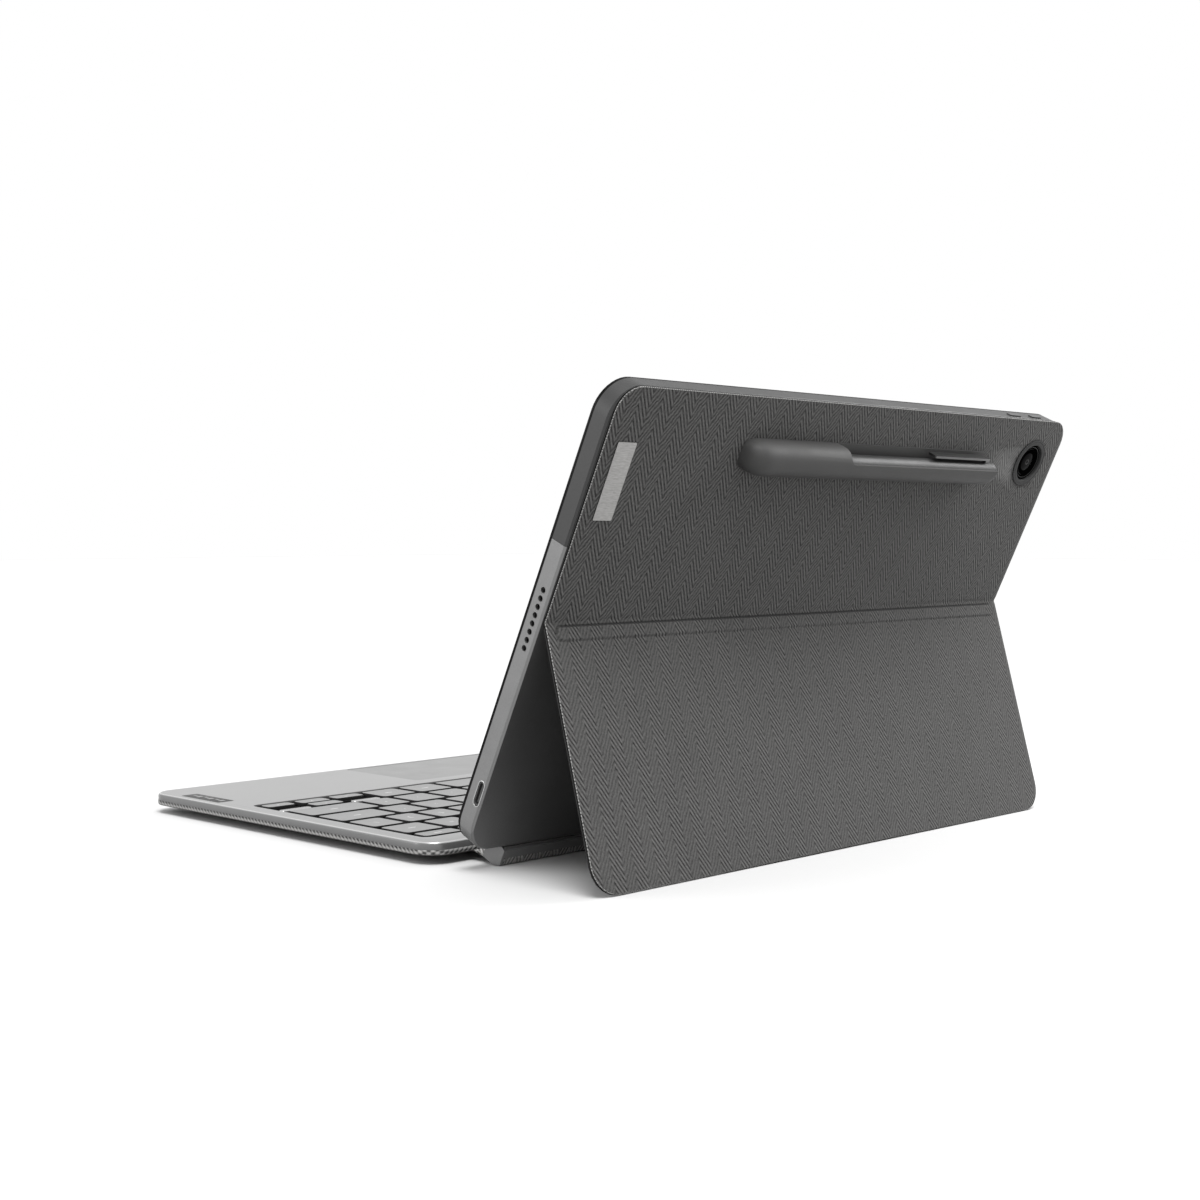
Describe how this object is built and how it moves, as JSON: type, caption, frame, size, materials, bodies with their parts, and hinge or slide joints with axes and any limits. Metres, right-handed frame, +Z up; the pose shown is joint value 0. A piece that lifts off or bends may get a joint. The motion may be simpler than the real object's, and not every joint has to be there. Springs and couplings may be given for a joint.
{
  "type": "tablet keyboard case",
  "caption": "Rear stand cover with folding kickstand, pen holder and pen, and a detachable fabric-hinged keyboard with touchpad, fitted to an 11-inch-class tablet.",
  "frame": {"origin": "centre of the bounding box's base, on the table, with the kickstand open and the keyboard flat", "axes": "+X the user's right, +Y rearwards from the keyboard to the kickstand, +Z up"},
  "size_m": [0.2585, 0.2618, 0.1583],
  "materials": {
    "aluminium_grey": "satin, bead-blasted and anodised",
    "antenna_plastic": "satin",
    "black_plastic": "satin",
    "screen_glass": "polished, opaque black behind",
    "cover_fabric": "herringbone weave, matt",
    "lining": "soft microfibre",
    "fibre_board": "matt",
    "steel": "ground",
    "magnet": "nickel-plated",
    "silver_plastic": "fine satin, metallic grey",
    "deck_aluminium": "fine satin, light grey",
    "key_plastic": "satin grey",
    "rubber": "moulded, matt",
    "circuit": "solder-masked board",
    "battery": "laminated pouch",
    "gold": "gold-plated contacts",
    "tip_plastic": "satin"
  },
  "bodies": {
    "tablet": {"back_shell": "aluminium_grey", "antenna_cover": "antenna_plastic", "display_glass": "screen_glass", "display_panel": "black_plastic", "battery_pack": "battery", "main_board": "circuit", "camera_module": "black_plastic", "camera_bezel": "black_plastic", "camera_lens": "screen_glass", "speaker_right": "black_plastic", "speaker_left": "black_plastic", "usb_socket": "steel", "tablet_contacts": "gold"},
    "volume_up": {"volume_up_button": "antenna_plastic"},
    "volume_down": {"volume_down_button": "antenna_plastic"},
    "power": {"power_button": "antenna_plastic"},
    "stand_cover": {"cover_fabric": "cover_fabric", "cover_board": "fibre_board", "cover_lining": "lining", "cover_magnet_right": "magnet", "cover_magnet_left": "magnet", "hinge_leaf_upper": "steel", "hinge_pin": "steel", "pen_holder": "rubber", "name_plate": "aluminium_grey", "camera_ring": "rubber"},
    "kickstand": {"kickstand_fabric": "cover_fabric", "kickstand_board": "fibre_board", "kickstand_lining": "lining", "hinge_leaf_lower": "steel"},
    "pen": {"pen_barrel": "antenna_plastic", "pen_tip": "tip_plastic", "pen_clip": "aluminium_grey"},
    "dock": {"dock_bar": "antenna_plastic", "dock_end_cap_right": "silver_plastic", "dock_end_cap_left": "silver_plastic", "dock_contacts": "gold", "dock_magnet_right": "magnet", "dock_magnet_left": "magnet", "dock_fabric": "cover_fabric"},
    "keyboard": {"keyboard_deck": "deck_aluminium", "keyboard_base": "antenna_plastic", "keyboard_fabric": "cover_fabric", "key_plate": "black_plastic", "keyboard_circuit": "circuit", "rear_foot": "rubber", "front_foot": "rubber"},
    "touchpad": {"touchpad": "silver_plastic"},
    "function_row": {"function_row": "key_plastic"},
    "number_row": {"number_row": "key_plastic"},
    "tab_row": {"tab_row": "key_plastic"},
    "home_row": {"home_row": "key_plastic"},
    "shift_row": {"shift_row": "key_plastic"},
    "bottom_row_left": {"bottom_row_left": "key_plastic"},
    "bottom_row_right": {"bottom_row_right": "key_plastic"},
    "space_bar": {"space_bar": "key_plastic"},
    "arrow_left_key": {"arrow_left_key": "key_plastic"},
    "arrow_up_key": {"arrow_up_key": "key_plastic"},
    "arrow_down_key": {"arrow_down_key": "key_plastic"},
    "arrow_right_key": {"arrow_right_key": "key_plastic"}
  },
  "joints": [
    {"name": "cover_release", "type": "slide", "parent": "tablet", "child": "stand_cover", "axis": [0, 0.9048, -0.4258], "range_m": [0, 0.03]},
    {"name": "kickstand_fold", "type": "hinge", "parent": "stand_cover", "child": "kickstand", "pos_m": [0, 0.09598, 0.08321], "axis": [1, 0, 0], "range_deg": [-40.3, 94.6]},
    {"name": "pen_slide", "type": "slide", "parent": "stand_cover", "child": "pen", "axis": [-1, 0, 0], "range_m": [0, 0.16]},
    {"name": "dock_release", "type": "slide", "parent": "tablet", "child": "dock", "axis": [0, -0.4258, -0.9048], "range_m": [0, 0.02]},
    {"name": "keyboard_fold", "type": "hinge", "parent": "dock", "child": "keyboard", "pos_m": [0, 0.04327, 0.00318], "axis": [1, 0, 0], "range_deg": [-115, 64.8]},
    {"name": "touchpad_click", "type": "hinge", "parent": "keyboard", "child": "touchpad", "pos_m": [0, -0.08031, 0.007], "axis": [1, 0, 0], "range_deg": [0, 0.4], "stiffness_Nm_per_rad": 2, "springref_deg": -1.15},
    {"name": "volume_up_press", "type": "slide", "parent": "tablet", "child": "volume_up", "axis": [0, -0.4258, -0.9048], "range_m": [0, 0.0003], "stiffness_N_per_m": 2000, "springref_m": -0.0005},
    {"name": "volume_down_press", "type": "slide", "parent": "tablet", "child": "volume_down", "axis": [0, -0.4258, -0.9048], "range_m": [0, 0.0003], "stiffness_N_per_m": 2000, "springref_m": -0.0005},
    {"name": "power_press", "type": "slide", "parent": "tablet", "child": "power", "axis": [1, 0, 0], "range_m": [0, 0.0003], "stiffness_N_per_m": 2000, "springref_m": -0.0005},
    {"name": "function_row_press", "type": "slide", "parent": "keyboard", "child": "function_row", "axis": [0, 0, -1], "range_m": [0, 0.0013], "stiffness_N_per_m": 300, "springref_m": -0.001},
    {"name": "number_row_press", "type": "slide", "parent": "keyboard", "child": "number_row", "axis": [0, 0, -1], "range_m": [0, 0.0013], "stiffness_N_per_m": 300, "springref_m": -0.001},
    {"name": "tab_row_press", "type": "slide", "parent": "keyboard", "child": "tab_row", "axis": [0, 0, -1], "range_m": [0, 0.0013], "stiffness_N_per_m": 300, "springref_m": -0.001},
    {"name": "home_row_press", "type": "slide", "parent": "keyboard", "child": "home_row", "axis": [0, 0, -1], "range_m": [0, 0.0013], "stiffness_N_per_m": 300, "springref_m": -0.001},
    {"name": "shift_row_press", "type": "slide", "parent": "keyboard", "child": "shift_row", "axis": [0, 0, -1], "range_m": [0, 0.0013], "stiffness_N_per_m": 300, "springref_m": -0.001},
    {"name": "bottom_row_left_press", "type": "slide", "parent": "keyboard", "child": "bottom_row_left", "axis": [0, 0, -1], "range_m": [0, 0.0013], "stiffness_N_per_m": 300, "springref_m": -0.001},
    {"name": "bottom_row_right_press", "type": "slide", "parent": "keyboard", "child": "bottom_row_right", "axis": [0, 0, -1], "range_m": [0, 0.0013], "stiffness_N_per_m": 300, "springref_m": -0.001},
    {"name": "space_bar_press", "type": "slide", "parent": "keyboard", "child": "space_bar", "axis": [0, 0, -1], "range_m": [0, 0.0013], "stiffness_N_per_m": 300, "springref_m": -0.001},
    {"name": "arrow_left_key_press", "type": "slide", "parent": "keyboard", "child": "arrow_left_key", "axis": [0, 0, -1], "range_m": [0, 0.0013], "stiffness_N_per_m": 300, "springref_m": -0.001},
    {"name": "arrow_up_key_press", "type": "slide", "parent": "keyboard", "child": "arrow_up_key", "axis": [0, 0, -1], "range_m": [0, 0.0013], "stiffness_N_per_m": 300, "springref_m": -0.001},
    {"name": "arrow_down_key_press", "type": "slide", "parent": "keyboard", "child": "arrow_down_key", "axis": [0, 0, -1], "range_m": [0, 0.0013], "stiffness_N_per_m": 300, "springref_m": -0.001},
    {"name": "arrow_right_key_press", "type": "slide", "parent": "keyboard", "child": "arrow_right_key", "axis": [0, 0, -1], "range_m": [0, 0.0013], "stiffness_N_per_m": 300, "springref_m": -0.001}
  ]
}
